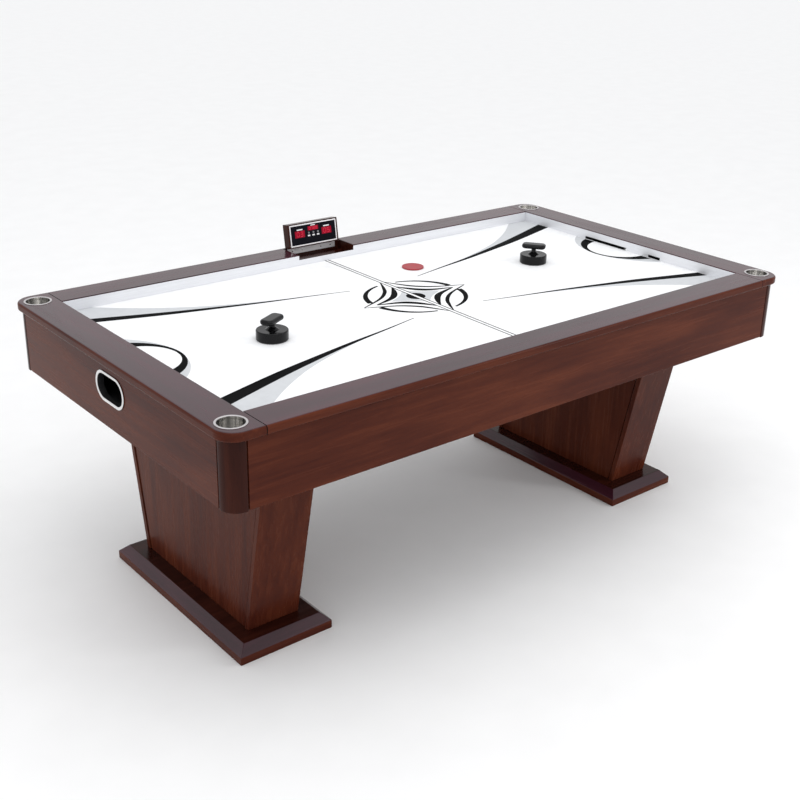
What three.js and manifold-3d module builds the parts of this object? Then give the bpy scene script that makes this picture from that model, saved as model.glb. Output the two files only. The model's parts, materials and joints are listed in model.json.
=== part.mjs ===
// Air hockey table: cabinet, pedestals, air system, flip-up scorer, puck and mallets.
// Millimetres. +X along the length, +Y towards the scorer's side, +Z up, origin on the floor.
import * as THREE from 'three';
import { mergeVertices } from 'three/addons/utils/BufferGeometryUtils.js';
import Module from 'manifold-3d';

const wasm = await Module();
wasm.setup();

// Overall size
const LENGTH = 2134;
const WIDTH = 1211;
const HEIGHT = 822;
const GAP = 0.3; // between pieces that touch

// Rails
const RAIL_T = 25.5; // thickness of the overhanging lip
const RAIL_INNER_T = 36; // thickness between the aprons
const RAIL_ROUND = 7; // rounding of the top and bottom edges
const RAIL_CORNER_R = 57.6;
const RAIL_IN_X = 957.5; // inner edge of the end rails
const RAIL_IN_Y = 501; // inner edge of the side rails
const OVERHANG = 12;

// Playfield and rebound walls
const FIELD_Z = 785.3;
const FIELD_T = 12;
const FIELD_X = 954.9; // half length of the panel
const FIELD_Y = 511.5; // half width of the panel, which runs under the side rails
const WALL_Y = 498.3; // inner face of the side walls
const WALL_X = 955.2; // inner face of the end walls
const WALL_T = 2.2;
const SIDE_WALL_T = 2;
const WALL_TOP = 819;

// Goals: the slot is in two parts, either side of a bridge
const GOAL_HALF = 178;
const GOAL_TOP = 796.2;
const GOAL_SILL = 786;
const BRIDGE = [-124, -22];
const GOAL_BOX_HALF = 190;
const GOAL_BOX_BOTTOM = 684;
const GOAL_BOX_WALL = 2;
const PORT_Z = 732;
const PORT_W = 160; // over the ring
const PORT_H = 87;
const PORT_RING = 6.5; // width of the ring's face

// Cabinet
const APRON_T = 16;
const APRON_BOTTOM = 613;
const APRON_TOP = HEIGHT - RAIL_T - GAP;
const SEAM = 63.6; // from the rail's outer edge to the groove beside a corner post
const GROOVE = 2;
const FACE_X = LENGTH / 2 - OVERHANG;
const FACE_Y = WIDTH / 2 - OVERHANG;
const CUP = { x: LENGTH / 2 - 54.5, y: WIDTH / 2 - 66, rim: 40.2, top: 35.5, base: 31, depth: 56 };

// Air system
const CHAMBER = { x: 954.5, y: 510, bottom: 706, wall: 14, floor: 6, hole: 60 };
const BEAM = { flange: 168, flangeT: 18, web: 40, halfY: FACE_Y - APRON_T - GAP };
const BLOWER = { r: 92, wall: 3, bottom: 632, intake: 46 };

// Pedestals
const LEG = { out: 838.7, in: 670.1, top: 403.3, bottom: 292.1, board: 18, panel: 14, recess: 3 };
const LEG_X = (LEG.out + LEG.in) / 2;
const PLINTH = { out: 904.6, in: 601, y: 361, edge: 25.4, bevel: 23.8, inset: 26.2 };
const PLINTH_TOP = PLINTH.edge + PLINTH.bevel;

// Scorer: it stands on a hinge at the back of a well in the rear rail and folds forward into it
const HINGE = { y: 589.5, z: 820, r: 2, bore: 1.25, pin: 1.05, half: 100, knuckles: 5, leaf: 0.8 };
const LEAN = THREE.MathUtils.degToRad(9.5);
const WELL = { half: 114, bottom: 789, floor: 1.6, wall: 2.2, back: 1.5 };
const NOTCH_Z = 804.5;
const CASE = { x0: -109, x1: 97, z0: 2.3, z1: 84.5, front: -28.5, rear: 1.5, cavity: 22 };
const BEZEL = { w: 194, h: 75, ring: 4.5, t: 3 };
const LENS_T = 2.5;
const SCORE = { x: 55.5, w: 41, h: 24, z: 3 };
const TIMER = { w: 44, h: 15, z: 18.5 };
const KEY = { r: 3.6, pitch: 19, z: 3.5, proud: 1.2 };
const DISPLAY_T = 4;

// Puck and mallets
const PUCK = { x: 189, y: 262, r: 37, t: 5 };
const MALLETS = [{ side: 'left', x: -580, y: -49, turn: 27 }, { side: 'right', x: 573, y: 70, turn: -53 }];
const MALLET = { r: 46.5, felt: 2, base: 31, neck: 8, flare: 14, grip: [82, 42, 16], corner: 15, top: 67 };

// Power switch: its rocker rests tilted one way and swings to the same angle the other way
const ROCKER_TILT = THREE.MathUtils.degToRad(10);

const group = new THREE.Group();

function material(color, roughness, metalness = 0) {
  return () => new THREE.MeshStandardMaterial({ color, roughness, metalness });
}
const WOOD = material(0x5a2a20, 0.25);
const DARK_WOOD = material(0x40201a, 0.3);
const WHITE = material(0xf4f4f6, 0.25);
const ALUMINIUM = material(0xc9ccd4, 0.4, 0.6);
const STEEL = material(0xd0d0d2, 0.25, 1);
const BLACK = material(0x141416, 0.4);
const RED = material(0xb01028, 0.4);
const GREY = material(0x8a8a90, 0.5);

function add(name, geometry, makeMaterial) {
  const mesh = new THREE.Mesh(geometry, makeMaterial());
  mesh.name = name;
  group.add(mesh);
}

// A solid that manifold can join and cut
function solid(geometry) {
  const plain = geometry.clone();
  plain.deleteAttribute('normal');
  plain.deleteAttribute('uv');
  const g = mergeVertices(plain, 1e-4);
  return new wasm.Manifold(new wasm.Mesh({
    numProp: 3,
    vertProperties: new Float32Array(g.attributes.position.array),
    triVerts: new Uint32Array(g.index.array),
  }));
}

function geometry(manifold) {
  const mesh = manifold.getMesh();
  const g = new THREE.BufferGeometry();
  g.setAttribute('position', new THREE.BufferAttribute(new Float32Array(mesh.vertProperties), 3));
  g.setIndex(new THREE.BufferAttribute(new Uint32Array(mesh.triVerts), 1));
  g.computeVertexNormals();
  return g;
}

// A box from its low and high corners
function box(lo, hi) {
  const g = new THREE.BoxGeometry(hi[0] - lo[0], hi[1] - lo[1], hi[2] - lo[2]);
  return g.translate((lo[0] + hi[0]) / 2, (lo[1] + hi[1]) / 2, (lo[2] + hi[2]) / 2);
}

// A cylinder along +Z
function cylinder(r, z0, z1, x = 0, y = 0, segments = 24) {
  const g = new THREE.CylinderGeometry(r, r, z1 - z0, segments);
  return g.rotateX(Math.PI / 2).translate(x, y, (z0 + z1) / 2);
}

// A turned shape about +Z, from [radius, height] points that start and end on the axis
function turned(points, x = 0, y = 0, segments = 24) {
  const g = new THREE.LatheGeometry(points.map(([r, z]) => new THREE.Vector2(r, z)), segments);
  return g.rotateX(Math.PI / 2).translate(x, y, 0);
}

function polygon(points) {
  return new THREE.Shape(points.map(([a, b]) => new THREE.Vector2(a, b)));
}

function rectangle(w, h, x = 0, y = 0) {
  const [a, b] = [w / 2, h / 2];
  return polygon([[x - a, y - b], [x + a, y - b], [x + a, y + b], [x - a, y + b]]);
}

function roundedRectangle(w, h, r) {
  const [a, b] = [w / 2, h / 2];
  const s = new THREE.Shape();
  s.moveTo(a, -b + r);
  s.lineTo(a, b - r);
  s.absarc(a - r, b - r, r, 0, Math.PI / 2);
  s.lineTo(-a + r, b);
  s.absarc(-a + r, b - r, r, Math.PI / 2, Math.PI);
  s.lineTo(-a, -b + r);
  s.absarc(-a + r, -b + r, r, Math.PI, Math.PI * 1.5);
  s.lineTo(a - r, -b);
  s.absarc(a - r, -b + r, r, -Math.PI / 2, 0);
  return s;
}

function disc(r, x = 0, y = 0) {
  return new THREE.Shape().absarc(x, y, r, 0, Math.PI * 2);
}

// A flat shape raised along +Z from z0 to z1
function raised(shape, z0, z1, curveSegments = 6) {
  const g = new THREE.ExtrudeGeometry(shape, { depth: z1 - z0, bevelEnabled: false, curveSegments });
  return g.translate(0, 0, z0);
}

// As raised, with rounded top and bottom edges; the shape is the outline at mid height
function softened(shape, z0, z1, round, curveSegments = 7) {
  const g = new THREE.ExtrudeGeometry(shape, {
    depth: z1 - z0 - 2 * round, bevelThickness: round, bevelSize: round, bevelOffset: -round,
    bevelSegments: 2, curveSegments,
  });
  return g.translate(0, 0, z0 + round);
}

// A profile in Y and Z, run along X
function alongX(points, x0, x1) {
  const g = raised(polygon(points), x0, x1);
  return g.applyMatrix4(new THREE.Matrix4().makeBasis(
    new THREE.Vector3(0, 1, 0), new THREE.Vector3(0, 0, 1), new THREE.Vector3(1, 0, 0)));
}

// Turns a shape drawn in X and Y and raised along Z to face +X: its X becomes Y, its Y becomes Z
function facingX(g) {
  return g.applyMatrix4(new THREE.Matrix4().makeBasis(
    new THREE.Vector3(0, 1, 0), new THREE.Vector3(0, 0, 1), new THREE.Vector3(1, 0, 0)));
}

// The same piece at the other end, turned half way round
function turnedRound(g) {
  return g.clone().rotateZ(Math.PI);
}

function cupBore(r, z0, sx, sy) {
  return solid(cylinder(r, z0, HEIGHT + 5, sx * CUP.x, sy * CUP.y));
}

// Rails: one rounded slab cut into four, with thicker inner parts that clamp the playfield
function rails() {
  const slab = solid(softened(roundedRectangle(LENGTH, WIDTH, RAIL_CORNER_R),
    HEIGHT - RAIL_T, HEIGHT, RAIL_ROUND));
  const inner = [FACE_X - APRON_T - GAP, FACE_Y - APRON_T - GAP];
  const z0 = HEIGHT - RAIL_INNER_T;
  const zTop = HEIGHT - RAIL_T / 2;
  const endPart = solid(box([RAIL_IN_X, -WIDTH, 0], [LENGTH, WIDTH, 2 * HEIGHT]));
  const endInner = solid(box([RAIL_IN_X, -SEAM_Y, z0], [inner[0], SEAM_Y, zTop]));
  const goalRecess = solid(box([RAIL_IN_X - 1, -GOAL_BOX_HALF - 1, 0],
    [inner[0] + 1, GOAL_BOX_HALF + 1, APRON_TOP + GAP]));
  let end = slab.intersect(endPart).add(endInner).subtract(goalRecess);
  for (const sy of [-1, 1]) end = end.subtract(cupBore(CUP.top + GAP, 0, 1, sy));
  add('end_rail_right', geometry(end), WOOD);
  add('end_rail_left', turnedRound(geometry(end)), WOOD);

  const halfX = RAIL_IN_X - GAP;
  const sidePart = solid(box([-halfX, RAIL_IN_Y, 0], [halfX, WIDTH, 2 * HEIGHT]));
  const sideInner = solid(box([-halfX, RAIL_IN_Y, z0], [halfX, inner[1], zTop]));
  const side = slab.intersect(sidePart).add(sideInner);
  const well = solid(box([-WELL.half - WELL.wall - GAP, RAIL_IN_Y - 1, 0],
    [WELL.half + WELL.wall + GAP, HINGE.y + 6, 2 * HEIGHT]));
  add('side_rail_front', turnedRound(geometry(side)), WOOD);
  add('side_rail_rear', geometry(side.subtract(well)), WOOD);
}

// Corner posts: quarter-round blocks, bored where the cup holders drop in
const SEAM_X = LENGTH / 2 - SEAM;
const SEAM_Y = WIDTH / 2 - SEAM;
function cornerPosts() {
  const r = RAIL_CORNER_R - OVERHANG;
  const [x0, y0] = [SEAM_X + GROOVE, SEAM_Y + GROOVE];
  const plan = new THREE.Shape();
  plan.moveTo(x0, y0);
  plan.lineTo(FACE_X, y0);
  plan.lineTo(FACE_X, FACE_Y - r);
  plan.absarc(FACE_X - r, FACE_Y - r, r, 0, Math.PI / 2);
  plan.lineTo(x0, FACE_Y);
  const post = solid(raised(plan, APRON_BOTTOM - 2.5, APRON_TOP, 8))
    .subtract(cupBore(CUP.top + GAP + 1, HEIGHT - CUP.depth - 4, 1, 1));
  const right = geometry(post);
  const mirrored = geometry(post.mirror([0, 1, 0]));
  add('corner_post_right_rear', right, DARK_WOOD);
  add('corner_post_left_front', turnedRound(right), DARK_WOOD);
  add('corner_post_right_front', mirrored, DARK_WOOD);
  add('corner_post_left_rear', turnedRound(mirrored), DARK_WOOD);
}

function portOutline(w, h) {
  return roundedRectangle(w, h, h / 2 - 0.01);
}

// Aprons: four boards between the posts
function aprons() {
  const side = box([-SEAM_X, FACE_Y - APRON_T, APRON_BOTTOM], [SEAM_X, FACE_Y, APRON_TOP]);
  const half = WELL.half + WELL.wall + GAP;
  const notch = box([-half, FACE_Y - APRON_T - 1, WELL.bottom - WELL.floor - GAP],
    [half, FACE_Y + 1, APRON_TOP + 1]);
  add('side_apron_front', turnedRound(side), WOOD);
  add('side_apron_rear', geometry(solid(side).subtract(solid(notch))), WOOD);

  const hole = facingX(raised(portOutline(PORT_W - 2 * PORT_RING, PORT_H - 2 * PORT_RING),
    FACE_X - APRON_T - 1, FACE_X + 1)).translate(0, 0, PORT_Z);
  let end = solid(box([FACE_X - APRON_T, -SEAM_Y, APRON_BOTTOM], [FACE_X, SEAM_Y, APRON_TOP]))
    .subtract(solid(hole));
  for (const sy of [-1, 1]) {
    end = end.subtract(cupBore(CUP.top + GAP + 1, HEIGHT - CUP.depth - 4, 1, sy));
  }
  add('end_apron_right', geometry(end), WOOD);
  add('end_apron_left', turnedRound(geometry(end)), WOOD);
}

// Cup holders: drop-in cups with a flat rim
function cupHolders() {
  const { rim, top, base, depth } = CUP;
  const z = HEIGHT + GAP;
  const wall = 1.2;
  const shape = [
    [0, z - depth], [base, z - depth], [top, z - 8], [top, z], [rim, z], [rim, z + 1.4],
    [top - wall, z + 1.4], [top - wall, z - 8], [base - wall, z - depth + wall], [0, z - depth + wall],
  ];
  for (const [end, sx] of [['left', -1], ['right', 1]]) {
    for (const [side, sy] of [['front', -1], ['rear', 1]]) {
      add(`cup_holder_${end}_${side}`, turned(shape, sx * CUP.x, sy * CUP.y), STEEL);
    }
  }
}

// Playfield panel and the four rebound walls round it
function playfield() {
  add('playfield', box([-FIELD_X, -FIELD_Y, FIELD_Z - FIELD_T], [FIELD_X, FIELD_Y, FIELD_Z]), WHITE);

  const side = box([-WALL_X + GAP, WALL_Y, FIELD_Z + GAP], [WALL_X - GAP, WALL_Y + SIDE_WALL_T, WALL_TOP]);
  const notch = box([-WELL.half, WALL_Y - 1, NOTCH_Z], [WELL.half, WALL_Y + WALL_T, WALL_TOP + 1]);
  add('rebound_wall_front', turnedRound(side), ALUMINIUM);
  add('rebound_wall_rear', geometry(solid(side).subtract(solid(notch))), ALUMINIUM);

  let end = solid(box([WALL_X, -WALL_Y - 1.5, FIELD_Z - FIELD_T], [WALL_X + WALL_T, WALL_Y + 1.5, WALL_TOP]));
  for (const [y0, y1] of [[-GOAL_HALF, BRIDGE[0]], [BRIDGE[1], GOAL_HALF]]) {
    end = end.subtract(solid(box([WALL_X - 1, y0, GOAL_SILL], [WALL_X + WALL_T + 1, y1, GOAL_TOP])));
  }
  add('rebound_wall_right', geometry(end), ALUMINIUM);
  add('rebound_wall_left', turnedRound(geometry(end)), ALUMINIUM);
}

// Goal boxes: a puck falls through the slot and is picked up through the port in the end apron
function goalBoxes() {
  const [x0, x1] = [WALL_X + WALL_T + GAP, FACE_X - APRON_T - GAP];
  const w = GOAL_BOX_WALL;
  const outer = solid(box([x0, -GOAL_BOX_HALF, GOAL_BOX_BOTTOM], [x1, GOAL_BOX_HALF, APRON_TOP]));
  const inner = solid(box([x0 + w, -GOAL_BOX_HALF + w, GOAL_BOX_BOTTOM + w],
    [x1 - w, GOAL_BOX_HALF - w, APRON_TOP - w]));
  const slot = solid(box([x0 - 1, -GOAL_HALF, GOAL_SILL], [x0 + w + 1, GOAL_HALF, APRON_TOP - w]));
  const port = solid(facingX(raised(portOutline(PORT_W - 2 * PORT_RING, PORT_H - 2 * PORT_RING),
    x1 - w - 1, x1 + 1)).translate(0, 0, PORT_Z));
  const goal = geometry(outer.subtract(inner).subtract(slot).subtract(port));
  add('goal_box_right', goal, BLACK);
  add('goal_box_left', turnedRound(goal), BLACK);

  const outline = portOutline(PORT_W, PORT_H);
  outline.holes.push(portOutline(PORT_W - 2 * PORT_RING - 4, PORT_H - 2 * PORT_RING - 4));
  const sleeve = portOutline(PORT_W - 2 * PORT_RING - 2 * GAP, PORT_H - 2 * PORT_RING - 2 * GAP);
  sleeve.holes.push(portOutline(PORT_W - 2 * PORT_RING - 4, PORT_H - 2 * PORT_RING - 4));
  const face = solid(facingX(raised(outline, FACE_X + GAP, FACE_X + GAP + 3)));
  const tube = solid(facingX(raised(sleeve, FACE_X - 10, FACE_X + GAP + 1)));
  const ring = geometry(face.add(tube)).translate(0, 0, PORT_Z);
  add('port_ring_right', ring, STEEL);
  add('port_ring_left', turnedRound(ring), STEEL);
}

// Air chamber: a tray under the playfield, fed by the blower through its floor
function airChamber() {
  const { x, y, bottom, wall, floor, hole } = CHAMBER;
  const top = FIELD_Z - FIELD_T - GAP;
  const tray = solid(box([-x, -y, bottom], [x, y, top]))
    .subtract(solid(box([-x + wall, -y + wall, bottom + floor], [x - wall, y - wall, top + 1])))
    .subtract(solid(cylinder(hole, bottom - 1, bottom + floor + 1)));
  add('air_chamber', geometry(tray), DARK_WOOD);

  const { flange, flangeT, web, halfY } = BEAM;
  const z = APRON_BOTTOM;
  const beam = alongX([[-halfY, z], [halfY, z], [halfY, z + flangeT], [-halfY, z + flangeT]],
    LEG_X - flange / 2, LEG_X + flange / 2);
  const rib = alongX([[-halfY, z + 1], [halfY, z + 1], [halfY, bottom - GAP], [-halfY, bottom - GAP]],
    LEG_X - web / 2, LEG_X + web / 2);
  const cross = geometry(solid(beam).add(solid(rib)));
  add('cross_beam_right', cross, DARK_WOOD);
  add('cross_beam_left', turnedRound(cross), DARK_WOOD);
}

// Blower: a drum under the air chamber, with its motor on a spider in the intake
function blower() {
  const { r, wall, bottom, intake } = BLOWER;
  const top = CHAMBER.bottom - GAP;
  const drum = turned([[intake, bottom], [r, bottom], [r, top], [r - wall, top],
    [r - wall, bottom + wall], [intake, bottom + wall], [intake, bottom]], 0, 0, 32);
  let housing = solid(drum).add(solid(cylinder(26, bottom, bottom + wall)));
  for (let i = 0; i < 3; i++) {
    const arm = box([20, -5, bottom], [intake + 5, 5, bottom + wall]).rotateZ(i * Math.PI * 2 / 3);
    housing = housing.add(solid(arm));
  }
  add('blower_housing', geometry(housing), BLACK);

  const motorTop = bottom + 36;
  const shaftTop = motorTop + 28;
  add('blower_motor', turned([[0, bottom + wall + GAP], [25, bottom + wall + GAP], [25, motorTop - 4],
    [21, motorTop], [2.5, motorTop], [2.5, shaftTop], [0, shaftTop]]), STEEL);

  const low = motorTop + 2;
  const hub = turned([[2.55, low], [78, low], [78, low + 2], [9, low + 2], [9, shaftTop - 2],
    [2.55, shaftTop - 2], [2.55, low]]);
  let wheel = solid(hub);
  for (let i = 0; i < 12; i++) {
    const blade = box([8, -0.9, low + 1], [77, 0.9, shaftTop - 4]).rotateZ(i * Math.PI / 6);
    wheel = wheel.add(solid(blade));
  }
  const bore = solid(cylinder(2.55, low - 1, shaftTop));
  add('blower_impeller', geometry(wheel.subtract(bore)), GREY);
}

// A solid between two flat outlines with the same number of corners, listed anticlockwise
function lofted(rings) {
  const n = rings[0].length;
  const points = rings.flat().map(([x, y, z]) => new THREE.Vector3(x, y, z));
  const index = [];
  for (let k = 0; k < rings.length - 1; k++) {
    for (let i = 0; i < n; i++) {
      const [a, b] = [k * n + i, k * n + (i + 1) % n];
      index.push(a, b, b + n, a, b + n, a + n);
    }
  }
  const last = (rings.length - 1) * n;
  for (let i = 1; i < n - 1; i++) index.push(0, i + 1, i, last, last + i, last + i + 1);
  const g = new THREE.BufferGeometry().setFromPoints(points);
  g.setIndex(index);
  g.computeVertexNormals();
  return g;
}

function ring(x0, x1, y, z) {
  return [[x0, -y, z], [x1, -y, z], [x1, y, z], [x0, y, z]];
}

// Pedestals: sloping side boards, recessed panels between them, and a bevelled plinth
function pedestals() {
  const [z0, z1] = [PLINTH_TOP + GAP, APRON_BOTTOM - GAP];
  const slope = (LEG.top - LEG.bottom) / (APRON_BOTTOM - PLINTH_TOP);
  const edge = (z) => LEG.bottom + slope * (z - PLINTH_TOP);
  const { out, in: inside, board, panel, recess } = LEG;
  const boardRear = alongX([[edge(z0) - board, z0], [edge(z0), z0], [edge(z1), z1],
    [edge(z1) - board, z1]], inside, out);
  const inset = board + GROOVE;
  const panelOutline = [[-edge(z0) + inset, z0], [edge(z0) - inset, z0], [edge(z1) - inset, z1],
    [-edge(z1) + inset, z1]];
  const outer = alongX(panelOutline, out - recess - panel, out - recess);
  const inner = alongX(panelOutline, inside + recess, inside + recess + panel);
  const boardFront = geometry(solid(boardRear).mirror([0, 1, 0]));
  const { bevel, inset: bevelInset, edge: lip, y } = PLINTH;
  const plinth = lofted([
    ring(PLINTH.in, PLINTH.out, y, 0),
    ring(PLINTH.in, PLINTH.out, y, lip),
    ring(PLINTH.in + bevelInset, PLINTH.out - bevelInset, y - bevelInset, lip + bevel),
  ]);
  const right = {
    side_rear: boardRear, side_front: boardFront, outer_panel: outer, inner_panel: inner, plinth,
  };
  const left = {
    side_front: boardRear, side_rear: boardFront, outer_panel: outer, inner_panel: inner, plinth,
  };
  for (const [part, g] of Object.entries(right)) add(`pedestal_right_${part}`, g, WOOD);
  for (const [part, g] of Object.entries(left)) add(`pedestal_left_${part}`, turnedRound(g), WOOD);
}

// Well: the lined recess that the scorer folds into
function scorerWell() {
  const { half, bottom, floor, wall, back } = WELL;
  const y1 = FACE_Y - 0.2;
  const y0 = RAIL_IN_Y;
  const outer = solid(box([-half - wall, y0, bottom - floor], [half + wall, y1, HEIGHT - 0.5]));
  const inner = solid(box([-half, y0 - 1, bottom], [half, y1 - back, HEIGHT + 1]));
  const hingeRoom = solid(box([-half, y1 - back - 1, HINGE.z - 4], [half, y1 + 1, HEIGHT + 1]));
  add('scorer_well', geometry(outer.subtract(inner).subtract(hingeRoom)), DARK_WOOD);
}

// Places a piece drawn upright about the hinge line, leaning back
function leaned(g) {
  return g.rotateX(-LEAN).translate(0, HINGE.y, HINGE.z);
}

// Every other knuckle on the hinge line from the given start, each joined to its leaf
function hingeLeaf(start, leafLow, leafHigh, arm) {
  const { half, knuckles, r } = HINGE;
  const pitch = 2 * half / knuckles;
  let leaf = solid(box([-half, leafLow[0], leafLow[1]], [half, leafHigh[0], leafHigh[1]]));
  for (let i = 0; i < knuckles; i++) {
    const [x0, x1] = [-half + i * pitch, -half + (i + 1) * pitch];
    if (i % 2 === start) {
      const barrel = facingX(raised(disc(r), x0 + 0.2, x1 - 0.2, 5));
      leaf = leaf.add(solid(barrel))
        .add(solid(box([x0 + 0.2, arm[0][0], arm[0][1]], [x1 - 0.2, arm[1][0], arm[1][1]])));
    } else {
      leaf = leaf.subtract(solid(facingX(raised(disc(r + 0.3), x0 - 0.2, x1 + 0.2, 5))));
    }
  }
  return leaf;
}

function hingeCore(r, overrun) {
  return solid(facingX(raised(disc(r), -HINGE.half - overrun, HINGE.half + overrun, 5)));
}

function scorerHinge() {
  const { leaf, pin, bore } = HINGE;
  const fixed = hingeLeaf(0, [1.2, -22], [1.2 + leaf, -1.2], [[0.9, -3], [1.2 + leaf, 0]])
    .add(hingeCore(pin, 0));
  add('scorer_hinge_fixed', geometry(fixed).translate(0, HINGE.y, HINGE.z), STEEL);
  const moving = hingeLeaf(1, [-22, 1.2], [-1.2, 1.2 + leaf], [[-3, 0.9], [0, 1.2 + leaf]])
    .subtract(hingeCore(bore, 1));
  add('scorer_hinge_moving', leaned(geometry(moving)), STEEL);
}

// Turns a shape drawn in X and Z to face -Y, its front at y0 and its back at y1
function panel(shape, y0, y1, segments = 6) {
  return raised(shape, -y1, -y0, segments).rotateX(Math.PI / 2);
}

// The scorer's case, bezel, lens, displays and buttons, all about the middle of its face
function scorerHead() {
  const { x0, x1, z0, z1, front, rear, cavity } = CASE;
  const [cx, cz] = [(x0 + x1) / 2, (z0 + z1) / 2];
  const place = (g) => leaned(g.translate(cx, 0, cz));
  const { w, h, ring: frame, t } = BEZEL;

  const body = solid(panel(rectangle(x1 - x0, z1 - z0), front, rear))
    .subtract(solid(panel(rectangle(w, h), front - 1, front + cavity)));
  add('scorer_case', place(geometry(body)), DARK_WOOD);

  const bezel = rectangle(w - 2 * GAP, h - 2 * GAP);
  bezel.holes.push(rectangle(w - 2 * frame, h - 2 * frame));
  add('scorer_bezel', place(panel(bezel, front - 0.6, front + t)), STEEL);

  const lens = rectangle(w - 2 * frame - 2 * GAP, h - 2 * frame - 2 * GAP);
  let plate = solid(panel(lens, front + 0.4, front + 0.4 + LENS_T));
  const windows = [
    rectangle(SCORE.w, SCORE.h, -SCORE.x, SCORE.z), rectangle(SCORE.w, SCORE.h, SCORE.x, SCORE.z),
    rectangle(TIMER.w, TIMER.h, 0, TIMER.z),
    ...[-1, 0, 1].map((i) => disc(KEY.r + GAP, i * KEY.pitch, KEY.z)),
  ];
  for (const shape of windows) plate = plate.subtract(solid(panel(shape, front - 2, 0)));
  add('scorer_lens', place(geometry(plate)), BLACK);

  const display = (wide, high, x, z) => panel(rectangle(wide - 2 * GAP, high - 2 * GAP, x, z),
    front + 0.6, front + 0.6 + DISPLAY_T);
  add('scorer_display_left', place(display(SCORE.w, SCORE.h, -SCORE.x, SCORE.z)), RED);
  add('scorer_display_right', place(display(SCORE.w, SCORE.h, SCORE.x, SCORE.z)), RED);
  add('scorer_display_timer', place(display(TIMER.w, TIMER.h, 0, TIMER.z)), RED);
  ['start', 'mode', 'volume'].forEach((name, i) => {
    const key = panel(disc(KEY.r, (i - 1) * KEY.pitch, KEY.z), front + 0.4 - KEY.proud, front + 7);
    add(`scorer_button_${name}`, place(key), GREY);
  });
}

// Puck, and mallets with a T grip and a felt pad
function gameSet() {
  const { x, y, r, t } = PUCK;
  const z = FIELD_Z + GAP;
  add('puck', turned([[0, z], [r - 0.8, z], [r, z + 0.8], [r, z + t - 0.8], [r - 0.8, z + t], [0, z + t]],
    x, y), RED);
  for (const m of MALLETS) {
    const bottom = z + MALLET.felt + GAP;
    const top = FIELD_Z + MALLET.base;
    const height = FIELD_Z + MALLET.top;
    const [length, width, thick] = MALLET.grip;
    add(`mallet_felt_${m.side}`, turned([[0, z], [MALLET.r - 2, z], [MALLET.r - 2, z + MALLET.felt],
      [0, z + MALLET.felt]], m.x, m.y), GREY);
    const { r: base, neck, flare } = MALLET;
    const stem = turned([[0, bottom], [base - 1, bottom], [base, bottom + 1], [base, top - 3],
      [base - 3, top], [flare, top], [neck + 2, top + 4], [neck, top + 10], [neck, height - thick / 2],
      [0, height - thick / 2]]);
    const grip = softened(roundedRectangle(length, width, MALLET.corner), height - thick, height, 6, 4)
      .rotateZ(THREE.MathUtils.degToRad(m.turn));
    add(`mallet_${m.side}`, geometry(solid(stem).add(solid(grip))).translate(m.x, m.y, 0), BLACK);
  }
}

// Power panel: an inlet plate inside the rear apron, with a rocker switch hanging through it
function power() {
  const x = 300;
  const yBack = FACE_Y - APRON_T - GAP;
  const [z0, z1] = [APRON_BOTTOM + 4, APRON_BOTTOM + 44];
  const block = solid(box([x - 40, yBack - 30, z0], [x + 40, yBack, z1]));
  const seat = solid(box([x - 26, yBack - 24, z0 - 1], [x - 6, yBack - 10, z0 + 16]));
  const inlet = solid(box([x + 6, yBack - 26, z0 - 1], [x + 32, yBack - 8, z0 + 16]));
  let socket = block.subtract(seat).subtract(inlet);
  for (const dx of [-7, 0, 7]) {
    const prong = box([x + 18 + dx, yBack - 18, z0 + 4], [x + 20 + dx, yBack - 13, z0 + 17]);
    socket = socket.add(solid(prong));
  }
  add('power_panel', geometry(socket), BLACK);
  const rocker = alongX([[-6, -2.5], [6, -2.5], [6, 2.8], [-6, 2.8]], x - 25.6, x - 6.4)
    .rotateX(-ROCKER_TILT).translate(0, yBack - 17, z0 + 2);
  add('power_rocker', rocker, RED);
}

rails();
cornerPosts();
aprons();
cupHolders();
playfield();
goalBoxes();
airChamber();
blower();
pedestals();
scorerWell();
scorerHinge();
scorerHead();
gameSet();
power();

export default group;
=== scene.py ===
"""Looks of the air hockey table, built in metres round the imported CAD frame."""
import json
import math

import bmesh
import bpy
import numpy as np
from mathutils import Matrix, Vector
from mathutils.geometry import delaunay_2d_cdt


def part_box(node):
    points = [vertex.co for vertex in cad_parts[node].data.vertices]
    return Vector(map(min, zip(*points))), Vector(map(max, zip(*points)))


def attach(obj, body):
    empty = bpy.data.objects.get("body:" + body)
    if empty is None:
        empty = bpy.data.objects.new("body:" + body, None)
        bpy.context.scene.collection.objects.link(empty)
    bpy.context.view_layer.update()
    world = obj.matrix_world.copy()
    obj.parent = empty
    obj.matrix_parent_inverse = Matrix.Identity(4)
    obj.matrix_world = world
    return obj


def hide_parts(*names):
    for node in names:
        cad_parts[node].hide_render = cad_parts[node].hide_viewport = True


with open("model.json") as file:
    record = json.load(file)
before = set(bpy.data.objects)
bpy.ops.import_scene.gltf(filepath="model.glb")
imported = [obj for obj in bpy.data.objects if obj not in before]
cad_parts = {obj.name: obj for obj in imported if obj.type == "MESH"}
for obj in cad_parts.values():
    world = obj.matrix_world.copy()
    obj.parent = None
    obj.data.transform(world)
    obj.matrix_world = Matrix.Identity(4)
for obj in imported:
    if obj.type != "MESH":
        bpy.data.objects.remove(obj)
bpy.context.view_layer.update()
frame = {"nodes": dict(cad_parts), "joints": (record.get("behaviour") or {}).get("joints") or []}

MM = 0.001

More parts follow.
